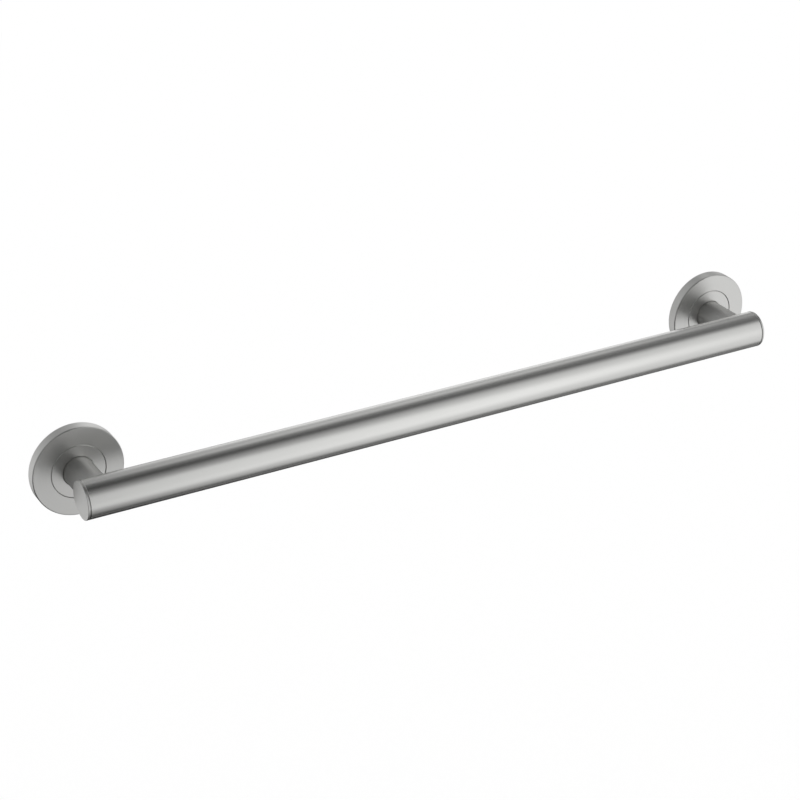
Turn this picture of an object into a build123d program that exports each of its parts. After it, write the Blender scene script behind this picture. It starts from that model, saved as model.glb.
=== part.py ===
from build123d import *
import os
from math import sqrt

# Straight grab bar in satin stainless steel, for the wall of a shower or bath.
# The rail is a tube with a turned cap in each end, and two short posts carry it off the wall.
# Each post has one end coped to sit on the round of the rail.
# Its other end runs through a turned mounting flange, which three screws hold to the wall.
# A cover ring snaps over each flange and hides the screws, and the flange's hub fills the ring's hole.
# The hole is wide enough for the ring to be parked on the rail and swung round the rail's short end.
# Sizes are in millimetres.
# X runs along the rail, Y goes into the wall and Z is up.
# The origin lies on the face of the wall, midway between the two posts.

# Rail
rail_diameter = 31.75
rail_wall = 1.5
rail_seam_bevel = 0.5
rail_overhang = 15.875
post_spacing = 609.6
hand_clearance = 38.1

# End caps
cap_rim = 2.0
cap_face_bevel = 0.25
cap_spigot_length = 8.0
cap_fit = 0.1

# Posts
post_diameter = 25.4
post_wall = 2.0
saddle_gap = 0.1
post_fit = 0.1

# Cover rings
cover_diameter = 76.2
cover_height = 9.525
cover_wall = 1.5
cover_hole = 46.0
cover_edge_bevel = 0.6
cover_seam_bevel = 0.2
cover_seam_gap = 0.2
cover_wall_gap = 0.2
nib_count = 3
nib_arc = 8.0
nib_edge = 0.2
nib_crest = 0.3
nib_fit = 0.1

# Mounting flanges
plate_thickness = 4.0
plate_fit = 0.15
plate_back_bevel = 1.4
cover_seat = 1.2
hub_edge_bevel = 0.5
post_seat_bevel = 0.6
screw_count = 3
screw_hole = 6.0

# Sizes that follow from those above
rail_radius = rail_diameter / 2
rail_standoff = hand_clearance + rail_radius
rail_length = post_spacing + 2 * rail_overhang
tube_length = rail_length - 2 * cap_rim
spigot_radius = rail_radius - rail_wall - cap_fit
post_radius = post_diameter / 2
post_seat_radius = post_radius + post_fit
cover_radius = cover_diameter / 2
cover_hole_radius = cover_hole / 2
skirt_radius = cover_radius - cover_wall
plate_radius = skirt_radius - plate_fit
hub_radius = cover_hole_radius - cover_seam_gap
shoulder_radius = cover_hole_radius + cover_seat
shoulder_height = cover_height - cover_wall
screw_circle_radius = (shoulder_radius + plate_radius) / 2

# A nib is a short ridge inside the skirt with sides at 45 degrees.
# Its upper side runs along the bevel behind the plate, and its lower side leads it over the plate's edge.
# Its foot lies a little inside the wall of the skirt, so the two are one solid.
nib_bottom = cover_wall_gap + nib_edge
nib_top = plate_back_bevel + plate_fit - sqrt(2) * nib_fit
nib_height = (nib_bottom + nib_top) / 2
nib_half_width = (nib_top - nib_bottom) / 2
nib_reach = nib_half_width - nib_crest / 2
nib_root = nib_edge / 2
nib_foot_half_width = nib_half_width + nib_root

os.makedirs("parts", exist_ok=True)

# Rail: a plain tube between the two caps, its ends bevelled where the cap seams show
with BuildPart() as rail_tube:
    with BuildSketch(Plane((-tube_length / 2, -rail_standoff, 0), z_dir=(1, 0, 0))):
        Circle(rail_radius)
        Circle(rail_radius - rail_wall, mode=Mode.SUBTRACT)
    extrude(amount=tube_length)
    outer_rims = rail_tube.edges().filter_by(GeomType.CIRCLE).sort_by(SortBy.RADIUS)[-2:]
    chamfer(outer_rims, rail_seam_bevel)

rail_tube.part.label = "rail_tube"
export_step(rail_tube.part, "parts/rail_tube.step")

for side, direction in (("left", -1), ("right", 1)):
    post_x = direction * post_spacing / 2
    cap_x = direction * rail_length / 2

    # End cap: a turned plug, its rim flush with the rail and its spigot inside the tube
    cap_axis = Axis((cap_x, -rail_standoff, 0), (-direction, 0, 0))
    with BuildPart() as end_cap:
        with BuildSketch(Plane(cap_axis.position, x_dir=(0, 0, 1), z_dir=(0, -direction, 0))):
            with BuildLine():
                Polyline(
                    (0, 0),
                    (rail_radius - cap_face_bevel, 0),
                    (rail_radius, cap_face_bevel),
                    (rail_radius, cap_rim),
                    (spigot_radius, cap_rim),
                    (spigot_radius, cap_rim + cap_spigot_length),
                    (0, cap_rim + cap_spigot_length),
                    close=True,
                )
            make_face()
        revolve(axis=cap_axis)

    end_cap.part.label = f"end_cap_{side}"
    export_step(end_cap.part, f"parts/end_cap_{side}.step")

    # The pieces of the flange are turned round the post.
    # Their half sections have the radius across and the height off the wall upwards.
    post_axis = Axis((post_x, 0, 0), (0, -1, 0))
    wall_plane = Plane(post_axis.position, x_dir=(1, 0, 0), z_dir=post_axis.direction)
    section_plane = Plane(post_axis.position, x_dir=(1, 0, 0), z_dir=(0, 0, -1))

    # Post: a tube from the back of the flange to the rail, coped to the rail's round
    with BuildPart() as post:
        with BuildSketch(wall_plane):
            Circle(post_radius)
            Circle(post_radius - post_wall, mode=Mode.SUBTRACT)
        extrude(amount=rail_standoff)
        with BuildSketch(Plane((post_x, -rail_standoff, 0), z_dir=(1, 0, 0))):
            Circle(rail_radius + saddle_gap)
        extrude(amount=post_diameter, both=True, mode=Mode.SUBTRACT)

    post.part.label = f"post_{side}"
    export_step(post.part, f"parts/post_{side}.step")

    # Mounting flange: a plate for the screws, a shoulder that the cover ring seats on, and the hub
    with BuildPart() as mounting_flange:
        with BuildSketch(section_plane):
            with BuildLine():
                Polyline(
                    (post_seat_radius, 0),
                    (plate_radius - plate_back_bevel, 0),
                    (plate_radius, plate_back_bevel),
                    (plate_radius, plate_thickness),
                    (shoulder_radius, plate_thickness),
                    (shoulder_radius, shoulder_height),
                    (hub_radius, shoulder_height),
                    (hub_radius, cover_height - hub_edge_bevel),
                    (hub_radius - hub_edge_bevel, cover_height),
                    (post_seat_radius + post_seat_bevel, cover_height),
                    (post_seat_radius, cover_height - post_seat_bevel),
                    close=True,
                )
            make_face()
        revolve(axis=post_axis)
        with Locations(wall_plane.offset(plate_thickness)):
            with PolarLocations(screw_circle_radius, screw_count, start_angle=90):
                Hole(screw_hole / 2)

    mounting_flange.part.label = f"mounting_flange_{side}"
    export_step(mounting_flange.part, f"parts/mounting_flange_{side}.step")

    # Cover ring: a shallow turned cup with a wide hole, and nibs that catch behind the plate's bevel
    with BuildPart() as cover_ring:
        with BuildSketch(section_plane):
            with BuildLine():
                Polyline(
                    (skirt_radius, cover_wall_gap),
                    (cover_radius, cover_wall_gap),
                    (cover_radius, cover_height - cover_edge_bevel),
                    (cover_radius - cover_edge_bevel, cover_height),
                    (cover_hole_radius + cover_seam_bevel, cover_height),
                    (cover_hole_radius, cover_height - cover_seam_bevel),
                    (cover_hole_radius, shoulder_height),
                    (skirt_radius, shoulder_height),
                    close=True,
                )
            make_face()
        revolve(axis=post_axis)
        nib_planes = [section_plane.rotated((0, nib * 360 / nib_count, 0)) for nib in range(nib_count)]
        with BuildSketch(*nib_planes):
            with BuildLine():
                Polyline(
                    (skirt_radius + nib_root, nib_height - nib_foot_half_width),
                    (skirt_radius + nib_root, nib_height + nib_foot_half_width),
                    (skirt_radius - nib_reach, nib_height + nib_crest / 2),
                    (skirt_radius - nib_reach, nib_height - nib_crest / 2),
                    close=True,
                )
            make_face()
        revolve(axis=post_axis, revolution_arc=nib_arc)

    cover_ring.part.label = f"cover_ring_{side}"
    export_step(cover_ring.part, f"parts/cover_ring_{side}.step")
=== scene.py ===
# %% [markdown]
# # A straight grab bar in satin stainless steel
# The bar is a tube with a plug in each end, on two short posts with a round flange on the wall behind each.
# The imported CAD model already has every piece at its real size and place, so it is loaded first.
# The lesson then turns the round pieces more finely, gives the steel its grain and sets up a small studio.

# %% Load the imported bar
import math

import bmesh
import bpy
from mathutils import Matrix, Vector


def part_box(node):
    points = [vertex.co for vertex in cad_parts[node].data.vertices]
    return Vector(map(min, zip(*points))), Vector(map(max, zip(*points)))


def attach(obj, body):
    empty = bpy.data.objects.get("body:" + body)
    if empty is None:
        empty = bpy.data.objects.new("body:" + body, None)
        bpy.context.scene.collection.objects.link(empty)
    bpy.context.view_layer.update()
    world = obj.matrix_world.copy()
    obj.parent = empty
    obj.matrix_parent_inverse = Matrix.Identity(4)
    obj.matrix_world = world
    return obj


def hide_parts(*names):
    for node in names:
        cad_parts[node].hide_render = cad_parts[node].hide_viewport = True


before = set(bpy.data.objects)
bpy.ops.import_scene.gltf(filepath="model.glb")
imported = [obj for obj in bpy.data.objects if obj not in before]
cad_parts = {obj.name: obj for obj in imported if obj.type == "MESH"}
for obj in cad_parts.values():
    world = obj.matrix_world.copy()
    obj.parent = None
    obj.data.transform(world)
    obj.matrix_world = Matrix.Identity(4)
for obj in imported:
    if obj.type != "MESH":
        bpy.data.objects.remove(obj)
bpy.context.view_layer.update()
print("CAD nodes:", ", ".join(sorted(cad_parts)))

# %% [markdown]
# Nothing is placed by eye: the boxes of the CAD nodes give the radii, the lengths and the axes.
# X runs along the rail, Y goes into the wall and Z is up, with the face of the wall at Y = 0.
# Blender works in metres here, so a small size is written in millimetres and multiplied by MM.

# %% Sizes read from the CAD nodes
MM = 0.001
SIDES = {"left": -1, "right": 1}
rail_low, rail_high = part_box("rail_tube")
cap_low, cap_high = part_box("end_cap_right")
cover_low, cover_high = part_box("cover_ring_right")
rail_radius = (rail_high.z - rail_low.z) / 2
rail_axis_y = (rail_low.y + rail_high.y) / 2
tube_length = rail_high.x - rail_low.x
rail_end_x = cap_high.x
cap_rim = rail_end_x - rail_high.x
cap_depth = cap_high.x - cap_low.x
cover_radius = (cover_high.z - cover_low.z) / 2
cover_height = -cover_low.y
cover_gap = -cover_high.y
post_x = (cover_low.x + cover_high.x) / 2
print(f"rail {2 * rail_radius / MM:.2f} mm across, its axis {-rail_axis_y / MM:.2f} mm off the wall")
print(f"covers {2 * cover_radius / MM:.2f} mm across, {2 * post_x / MM:.1f} mm between the posts")

# %% [markdown]
# The rail, the plugs and the cover rings are all round, and a lathe makes them by turning a half section.
# A script could list every point of such a piece, but the spin operator does the same as the lathe.
# On the real bar the lathe tool breaks each sharp edge, which leaves a narrow flat bevel.
# A bevel faces another way than the faces beside it, so it draws the fine lines along rims and seams.
# Each corner of a section therefore carries the width of its bevel, and 0 leaves it sharp.

# %% Turn a half section on the lathe
TURN_STEPS = 192
MERGE_DISTANCE = 0.001 * MM
SHARP_ANGLE = math.radians(35)


def turn(corners, place):
    """Spins (radius, height, bevel) corners round Z, bevels the edges and moves the result into place."""
    shape = bmesh.new()
    section = [shape.verts.new((radius, 0, height)) for radius, height, bevel in corners]
    outline = [shape.edges.new(pair) for pair in zip(section, section[1:])]
    if corners[0][0] > 0:
        outline.append(shape.edges.new((section[-1], section[0])))
    bmesh.ops.spin(shape, geom=section + outline, cent=(0, 0, 0), axis=(0, 0, 1), dvec=(0, 0, 0),
                   angle=math.tau, steps=TURN_STEPS, use_merge=True)
    bmesh.ops.remove_doubles(shape, verts=shape.verts[:], dist=MERGE_DISTANCE)
    bmesh.ops.recalc_face_normals(shape, faces=shape.faces[:])
    for radius, height, bevel in corners:
        if bevel > 0:
            corner = Vector((radius, height))
            ring = [line for line in shape.edges
                    if all((Vector((vert.co.xy.length, vert.co.z)) - corner).length < MERGE_DISTANCE
                           for vert in line.verts)]
            bmesh.ops.bevel(shape, geom=ring, offset=bevel, segments=1, profile=0.5,
                            affect="EDGES", material=-1)
    shape.transform(place)
    return shape


def finish_piece(name, shape, node):
    """Makes the shape a smooth piece that stands for its CAD node."""
    mesh = bpy.data.meshes.new(name)
    shape.to_mesh(mesh)
    shape.free()
    mesh.shade_smooth()
    mesh.set_sharp_from_angle(angle=SHARP_ANGLE)
    piece = bpy.data.objects.new(name, mesh)
    bpy.context.scene.collection.objects.link(piece)
    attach(piece, "root")
    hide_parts(node)
    print(f"{name}: {len(mesh.polygons)} faces stand for {node}")
    return piece


# %% [markdown]
# The rail is a drawn and belt-brushed tube, 1.5 mm thick, with bevelled ends where it meets the plugs.
# Turning it from a half section gives both walls, both ends and the bevels in one go.

# %% The rail
rail_wall = 1.5 * MM
rail_seam_bevel = 0.5 * MM
bore_radius = rail_radius - rail_wall
along_rail = Matrix.Translation((0, rail_axis_y, 0)) @ Matrix.Rotation(math.radians(90), 4, "Y")
rail = finish_piece("rail_tube_satin", turn([
    (rail_radius, -tube_length / 2, rail_seam_bevel),
    (rail_radius, tube_length / 2, rail_seam_bevel),
    (bore_radius, tube_length / 2, 0),
    (bore_radius, -tube_length / 2, 0),
], along_rail), "rail_tube")

# %% [markdown]
# Each plug is turned from bar: a flat face with a broken edge, a rim flush with the tube, and a spigot.
# The rim is what shows as a narrow band at the end of the rail, between the face and the seam.
# The rim has a bevel on the seam side too, so the seam is a small groove and stays dark all the way round.

# %% The end caps
cap_face_bevel = 0.25 * MM
cap_seam_bevel = 0.4 * MM
cap_fit = 0.1 * MM
spigot_radius = bore_radius - cap_fit
end_caps = []
for side, direction in SIDES.items():
    turn_inwards = Matrix.Rotation(math.radians(-90 * direction), 4, "Y")
    at_rail_end = Matrix.Translation((direction * rail_end_x, rail_axis_y, 0)) @ turn_inwards
    end_caps.append(finish_piece(f"end_cap_{side}_satin", turn([
        (0, 0, 0),
        (rail_radius, 0, cap_face_bevel),
        (rail_radius, cap_rim, cap_seam_bevel),
        (spigot_radius, cap_rim, 0),
        (spigot_radius, cap_depth, 0),
        (0, cap_depth, 0),
    ], at_rail_end), f"end_cap_{side}"))

# %% [markdown]
# A cover ring is a shallow cup with a wide hole, turned so that its face ends level with the hub inside it.
# It hides three screws, and three short ridges inside its skirt catch behind the plate.
# The ridges are spun too, only through a few degrees, from a small section that starts inside the wall.

# %% The cover rings
cover_wall = 1.5 * MM
cover_hole_radius = 23.0 * MM
cover_edge_bevel = 0.6 * MM
cover_seam_bevel = 0.2 * MM
skirt_radius = cover_radius - cover_wall
under_face = cover_height - cover_wall
nib_count = 3
nib_arc = math.radians(8)
nib_steps = 6
nib_root = 0.1 * MM
nib_reach = 0.35 * MM
nib_height = 0.9 * MM
nib_foot_half = 0.6 * MM
nib_crest_half = 0.15 * MM


def add_nibs(shape, place):
    """Adds the short ridges inside a cover's skirt."""
    nibs = bmesh.new()
    for nib in range(nib_count):
        section = [nibs.verts.new(point) for point in (
            (skirt_radius + nib_root, 0, nib_height - nib_foot_half),
            (skirt_radius + nib_root, 0, nib_height + nib_foot_half),
            (skirt_radius - nib_reach, 0, nib_height + nib_crest_half),
            (skirt_radius - nib_reach, 0, nib_height - nib_crest_half),
        )]
        face = nibs.faces.new(section)
        start = Matrix.Rotation(math.tau * nib / nib_count, 4, "Z")
        bmesh.ops.transform(nibs, matrix=start, verts=section)
        bmesh.ops.spin(nibs, geom=[face], cent=(0, 0, 0), axis=(0, 0, 1), dvec=(0, 0, 0),
                       angle=nib_arc, steps=nib_steps)
    bmesh.ops.recalc_face_normals(nibs, faces=nibs.faces[:])
    nibs.transform(place)
    ridges = bpy.data.meshes.new("ridges")
    nibs.to_mesh(ridges)
    nibs.free()
    shape.from_mesh(ridges)
    bpy.data.meshes.remove(ridges)


cover_rings = []
for side, direction in SIDES.items():
    face_outwards = Matrix.Rotation(math.radians(90), 4, "X")
    off_the_wall = Matrix.Translation((direction * post_x, 0, 0)) @ face_outwards
    ring = turn([
        (skirt_radius, cover_gap, 0),
        (cover_radius, cover_gap, cover_seam_bevel),
        (cover_radius, cover_height, cover_edge_bevel),
        (cover_hole_radius, cover_height, cover_seam_bevel),
        (cover_hole_radius, under_face, 0),
        (skirt_radius, under_face, 0),
    ], off_the_wall)
    add_nibs(ring, off_the_wall)
    cover_rings.append(finish_piece(f"cover_ring_{side}_satin", ring,
                                    f"cover_ring_{side}"))

# %% [markdown]
# Hex colours are sRGB, and shaders reckon in linear light, so one function turns the first into the second.
# One more function adds a node, with named settings, and with numbers or other nodes' outputs as inputs.

# %% Colour and node helpers


def srgb(hex_colour):
    """An sRGB hex value as linear red, green, blue and alpha."""
    channels = [int(hex_colour[place:place + 2], 16) / 255 for place in (1, 3, 5)]
    return [c / 12.92 if c <= 0.04045 else ((c + 0.055) / 1.055) ** 2.4 for c in channels] + [1]


def add_node(tree, kind, inputs=None, **settings):
    """Adds a shader node with its settings, and links or sets its inputs."""
    node = tree.nodes.new(kind)
    for name, value in settings.items():
        setattr(node, name, value)
    for socket, value in (inputs or {}).items():
        if isinstance(value, bpy.types.NodeSocket):
            tree.links.new(value, node.inputs[socket])
        else:
            node.inputs[socket].default_value = value
    return node


# %% [markdown]
# Every visible piece is satin stainless steel, and only the way it was finished differs.
# A belt, a pad or a lathe tool leaves lines finer than a hair, and these lines blur the reflection.
# Modelling them would take millions of faces, so one noise pattern stands for the lines.
# It moves the roughness a little, and it is also the height that the bump node tilts the light with.
# A second, broad noise lets the tone drift by one part in a hundred, as where the belt pressed harder.
# The steel is written as the tone in which it mirrors white: a light grey with a little less blue.

# %% The satin surface that all the finishes share
STEEL_COLOUR = srgb("#DBDBD9")
TONE_DRIFT = 0.01
DRIFT_SIZE = 60 * MM
ROUGHNESS_SWING = 0.025


def empty_material(name):
    """A new material with an empty node tree."""
    material = bpy.data.materials.new(name)
    material.use_nodes = True
    material.node_tree.nodes.clear()
    return material


def satin_surface(tree, place, lines, relief, roughness, **blur):
    """Ends a tree in steel whose roughness and height follow the lines, and whose tone drifts slowly."""
    drift = add_node(tree, "ShaderNodeTexNoise", {
        "Vector": place, "Scale": 1 / DRIFT_SIZE, "Detail": 1.0,
    })
    tone = add_node(tree, "ShaderNodeMapRange", {
        "Value": drift.outputs["Fac"], "To Min": 1 - TONE_DRIFT, "To Max": 1 + TONE_DRIFT,
    })
    colour = add_node(tree, "ShaderNodeHueSaturation", {
        "Value": tone.outputs["Result"], "Color": STEEL_COLOUR,
    })
    polish = add_node(tree, "ShaderNodeMapRange", {
        "Value": lines, "To Min": roughness - ROUGHNESS_SWING, "To Max": roughness + ROUGHNESS_SWING,
    })
    tilt = add_node(tree, "ShaderNodeBump", {"Height": lines, "Distance": relief})
    steel = add_node(tree, "ShaderNodeBsdfPrincipled", {
        "Base Color": colour.outputs["Color"],
        "Metallic": 1.0,
        "Roughness": polish.outputs["Result"],
        "Normal": tilt.outputs["Normal"],
        **blur,
    })
    add_node(tree, "ShaderNodeOutputMaterial", {"Surface": steel.outputs["BSDF"]})


def round_an_axis(tree, axis_point, axis):
    """The place of a shaded point, its offset from the axis point, and the way round the axis there."""
    place = add_node(tree, "ShaderNodeTexCoord").outputs["Object"]
    offset = add_node(tree, "ShaderNodeVectorMath", {0: place, 1: axis_point}, operation="SUBTRACT")
    way_round = add_node(tree, "ShaderNodeVectorMath", {0: axis, 1: offset.outputs["Vector"]},
                         operation="CROSS_PRODUCT")
    return place, offset.outputs["Vector"], way_round.outputs["Vector"]


# %% [markdown]
# The rail is tube that a belt has brushed along its length.
# Such lines spread light round the tube and hardly along it, so the bright band on it has soft sides.
# Anisotropy does that in the shader: the tangent runs round the axis, and the blur is wider along it.
# The posts are short ends of tube, rubbed by hand with a pad after welding.
# Their blur is therefore wider than the rail's, and the same all ways.
# Real lines are about 0.1 mm apart. They are drawn 0.8 mm apart here, because a pixel covers that much.

# %% Brushed tube and rubbed posts
LINE_WIDTH = 0.8 * MM
LINE_LENGTH = 40 * MM
LINE_RELIEF = 0.003 * MM
LINE_DETAIL = 2.0


def brushed_steel(name, axis_point, axis, roughness, anisotropy):
    """Steel with fine lines along an axis."""
    material = empty_material(name)
    tree = material.node_tree
    place, _, way_round = round_an_axis(tree, axis_point, axis)
    squeeze = [1 / LINE_LENGTH if along else 1 / LINE_WIDTH for along in axis]
    squeezed = add_node(tree, "ShaderNodeVectorMath", {0: place, 1: squeeze}, operation="MULTIPLY")
    lines = add_node(tree, "ShaderNodeTexNoise", {
        "Vector": squeezed.outputs["Vector"], "Scale": 1.0, "Detail": LINE_DETAIL,
    })
    satin_surface(tree, place, lines.outputs["Fac"], LINE_RELIEF, roughness,
                  Tangent=way_round, Anisotropic=anisotropy)
    return material


rail_axis = (0, rail_axis_y, 0), (1, 0, 0)
post_axes = {side: ((direction * post_x, 0, 0), (0, 1, 0)) for side, direction in SIDES.items()}
rail_steel = brushed_steel("Stainless_tube_belt_brushed", *rail_axis, roughness=0.25, anisotropy=0.6)
rail.data.materials.append(rail_steel)
for side, post_axis in post_axes.items():
    post_steel = brushed_steel(f"Stainless_post_{side}_pad_rubbed", *post_axis,
                               roughness=0.5, anisotropy=0.0)
    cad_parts[f"post_{side}"].material_slots[0].material = post_steel
print("brushed steel on the rail, rubbed steel on the posts")

# %% [markdown]
# The caps, the flanges and the cover rings come off a lathe, whose tool leaves fine circles round the axis.
# On a flat face the circles differ in radius, and on a round side they differ in height along the axis.
# A noise over just those two numbers therefore draws true circles on both.
# The circles are drawn 1.2 mm apart, several times coarser than real ones, and deeper too, to show.

# %% Turned steel
LATHE_PITCH = 1.2 * MM
LATHE_RELIEF = 0.02 * MM


def turned_steel(name, axis_point, axis, roughness):
    """Steel with fine circles round an axis."""
    material = empty_material(name)
    tree = material.node_tree
    place, offset, way_round = round_an_axis(tree, axis_point, axis)
    radius = add_node(tree, "ShaderNodeVectorMath", {0: way_round}, operation="LENGTH")
    height = add_node(tree, "ShaderNodeVectorMath", {0: axis, 1: offset}, operation="DOT_PRODUCT")
    section = add_node(tree, "ShaderNodeCombineXYZ", {
        "X": radius.outputs["Value"], "Y": height.outputs["Value"],
    })
    circles = add_node(tree, "ShaderNodeTexNoise", {
        "Vector": section.outputs["Vector"], "Scale": 1 / LATHE_PITCH, "Detail": LINE_DETAIL,
    }, noise_dimensions="2D")
    satin_surface(tree, place, circles.outputs["Fac"], LATHE_RELIEF, roughness)
    return material


cap_steel = turned_steel("Stainless_cap_turned", *rail_axis, roughness=0.38)
for cap in end_caps:
    cap.data.materials.append(cap_steel)
for cover, (side, post_axis) in zip(cover_rings, post_axes.items()):
    flange_steel = turned_steel(f"Stainless_flange_{side}_turned", *post_axis, roughness=0.35)
    cover.data.materials.append(flange_steel)
    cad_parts[f"mounting_flange_{side}"].material_slots[0].material = flange_steel
print("turned steel on the caps, the flanges and the cover rings")

# %% [markdown]
# The camera looks at the bar from the left and from above, far enough back for a long lens.
# Its place was found by matching the outlines of the rail, the caps and the flanges to the photograph.

# %% Camera
camera_azimuth = math.radians(-29.248)
camera_elevation = math.radians(26.685)
camera_distance = 1702.1 * MM
camera_target = Vector((-42.007, -53.975, 17.473)) * MM
camera_data = bpy.data.cameras.new("camera")
camera_data.sensor_width = 36
camera_data.lens = 93.83
camera = bpy.data.objects.new("camera", camera_data)
bpy.context.scene.collection.objects.link(camera)


def direction_of(azimuth, elevation):
    """The unit vector that points to an azimuth from the front, plus to the right, and an elevation."""
    return Vector((math.sin(azimuth) * math.cos(elevation),
                   -math.cos(azimuth) * math.cos(elevation),
                   math.sin(elevation)))


to_camera = direction_of(camera_azimuth, camera_elevation)
camera.location = camera_target + camera_distance * to_camera
camera.rotation_euler = to_camera.to_track_quat("Z", "Y").to_euler()
bpy.context.scene.camera = camera
print("camera at, mm:", [round(value / MM) for value in camera.location])

# %% [markdown]
# The bar hangs on a wall at hand height, so the floor lies well below it, white like the rest of the room.
# In even light a white floor is as bright as the white behind it, and only the bar's soft shadow shows.
# The underside of the floor is clear, so that a camera under it still sees the bar.

# %% Floor
FLOOR_DEPTH = 860 * MM
FLOOR_RADIUS = 4000 * MM
FLOOR_STEPS = 96
floor_shape = bmesh.new()
bmesh.ops.create_circle(floor_shape, cap_ends=True, segments=FLOOR_STEPS, radius=FLOOR_RADIUS,
                        matrix=Matrix.Translation((0, 0, -FLOOR_DEPTH)))
floor_mesh = bpy.data.meshes.new("floor")
floor_shape.to_mesh(floor_mesh)
floor_shape.free()
floor_paint = empty_material("White_floor_paint")
floor_tree = floor_paint.node_tree
paint = add_node(floor_tree, "ShaderNodeBsdfDiffuse", {"Color": srgb("#FFFFFF")})
clear = add_node(floor_tree, "ShaderNodeBsdfTransparent")
side_seen = add_node(floor_tree, "ShaderNodeNewGeometry")
one_sided = add_node(floor_tree, "ShaderNodeMixShader", {
    0: side_seen.outputs["Backfacing"], 1: paint.outputs["BSDF"], 2: clear.outputs["BSDF"],
})
add_node(floor_tree, "ShaderNodeOutputMaterial", {"Surface": one_sided.outputs["Shader"]})
floor_mesh.materials.append(floor_paint)
floor = bpy.data.objects.new("floor", floor_mesh)
bpy.context.scene.collection.objects.link(floor)
floor.visible_glossy = False
print(f"floor {FLOOR_DEPTH / MM:.0f} mm below the rail")

# %% [markdown]
# The room is white and evenly lit, at the plain level where white renders as white.
# Metal in an all-white room has no form, though, because every part of it mirrors the same white.
# A photographer therefore lights metal with panels in a dim room.
# This world does so too, for mirrored rays alone, and everything else still sees the white room.
# The Light Path node picks the mirrored rays out, as glossy rays and rays that pass through glass.
# A panel is a glow round a direction, and a power of the cosine makes it tight or broad.
# The glow is doubled and then cut at one, so a panel is even in its middle.
# At its half width it is half as bright.
# Squeezing the heights first makes a panel taller than it is wide, like a soft box on end.
# The places of the panels started from a fit to the bright and dark bands in the photograph.
# They were then rounded and tuned.
# The last two are only there to keep the steel light when it is looked at from the side.

# %% Studio
PANELS = {
    "soft box, front right": dict(azimuth=50, elevation=-10, half_width=25, tallness=3.5, strength=0.82),
    "bright side of the soft box": dict(azimuth=23, elevation=0, half_width=10, tallness=5, strength=0.65),
    "low card, in front": dict(azimuth=-10, elevation=-25, half_width=17, tallness=1, strength=0.55),
    "ceiling, front left": dict(azimuth=-45, elevation=50, half_width=25, tallness=2, strength=0.22),
    "white wall, behind": dict(azimuth=148, elevation=0, half_width=16, tallness=1, strength=0.8),
    "bright part of that wall": dict(azimuth=153, elevation=12, half_width=9, tallness=1.5, strength=0.3),
    "white wall, above that": dict(azimuth=162, elevation=28, half_width=17, tallness=1, strength=0.42),
    "white wall, high behind": dict(azimuth=140, elevation=50, half_width=11, tallness=2.2, strength=0.6),
    "white wall, behind left": dict(azimuth=-140, elevation=50, half_width=34, tallness=1.7, strength=0.45),
    "low card, behind left": dict(azimuth=-155, elevation=-26, half_width=20, tallness=1.7, strength=0.7),
    "dim wall, right": dict(azimuth=110, elevation=-5, half_width=25, tallness=8, strength=0.2),
    "white wall, right": dict(azimuth=90, elevation=-5, half_width=20, tallness=1, strength=0.45),
    "white wall, left": dict(azimuth=-95, elevation=0, half_width=30, tallness=1, strength=0.45),
}
ROOM_LIGHT = 1.0
GLOW_GAIN = 2.0
EDGE_LIGHT = 0.5
world = bpy.data.worlds.new("studio")
bpy.context.scene.world = world
world.use_nodes = True
world.cycles.sampling_method = "NONE"
studio = world.node_tree
studio.nodes.clear()
ray = add_node(studio, "ShaderNodeTexCoord").outputs["Generated"]
light = 0.0
for panel in PANELS.values():
    squeeze = Vector((1, 1, 1 / panel["tallness"]))
    squeezed = add_node(studio, "ShaderNodeVectorMath", {0: ray, 1: squeeze}, operation="MULTIPLY")
    aim = add_node(studio, "ShaderNodeVectorMath", {0: squeezed.outputs["Vector"]}, operation="NORMALIZE")
    centre = direction_of(math.radians(panel["azimuth"]), math.radians(panel["elevation"])) * squeeze
    towards = add_node(studio, "ShaderNodeVectorMath", {0: aim.outputs["Vector"], 1: centre.normalized()},
                       operation="DOT_PRODUCT")
    facing = add_node(studio, "ShaderNodeMath", {0: towards.outputs["Value"], 1: 0.0}, operation="MAXIMUM")
    edge_facing = math.cos(math.radians(panel["half_width"]))
    tightness = math.log(EDGE_LIGHT / GLOW_GAIN) / math.log(edge_facing)
    glow = add_node(studio, "ShaderNodeMath", {0: facing.outputs["Value"], 1: tightness}, operation="POWER")
    flat_glow = add_node(studio, "ShaderNodeMath", {0: glow.outputs["Value"], 1: GLOW_GAIN},
                         operation="MULTIPLY", use_clamp=True)
    light = add_node(studio, "ShaderNodeMath", {
        0: flat_glow.outputs["Value"], 1: panel["strength"], 2: light,
    }, operation="MULTIPLY_ADD").outputs["Value"]
path = add_node(studio, "ShaderNodeLightPath")
mirrored = add_node(studio, "ShaderNodeMath", {
    0: path.outputs["Is Glossy Ray"], 1: path.outputs["Is Transmission Ray"],
}, operation="ADD", use_clamp=True)
strength = add_node(studio, "ShaderNodeMapRange", {
    "Value": mirrored.outputs["Value"], "To Min": ROOM_LIGHT, "To Max": light,
})
background = add_node(studio, "ShaderNodeBackground", {
    "Color": srgb("#FFFFFF"), "Strength": strength.outputs["Result"],
})
add_node(studio, "ShaderNodeOutputWorld", {"Surface": background.outputs["Background"]})
bpy.context.scene.view_settings.view_transform = "Standard"
print("panels:", ", ".join(PANELS))
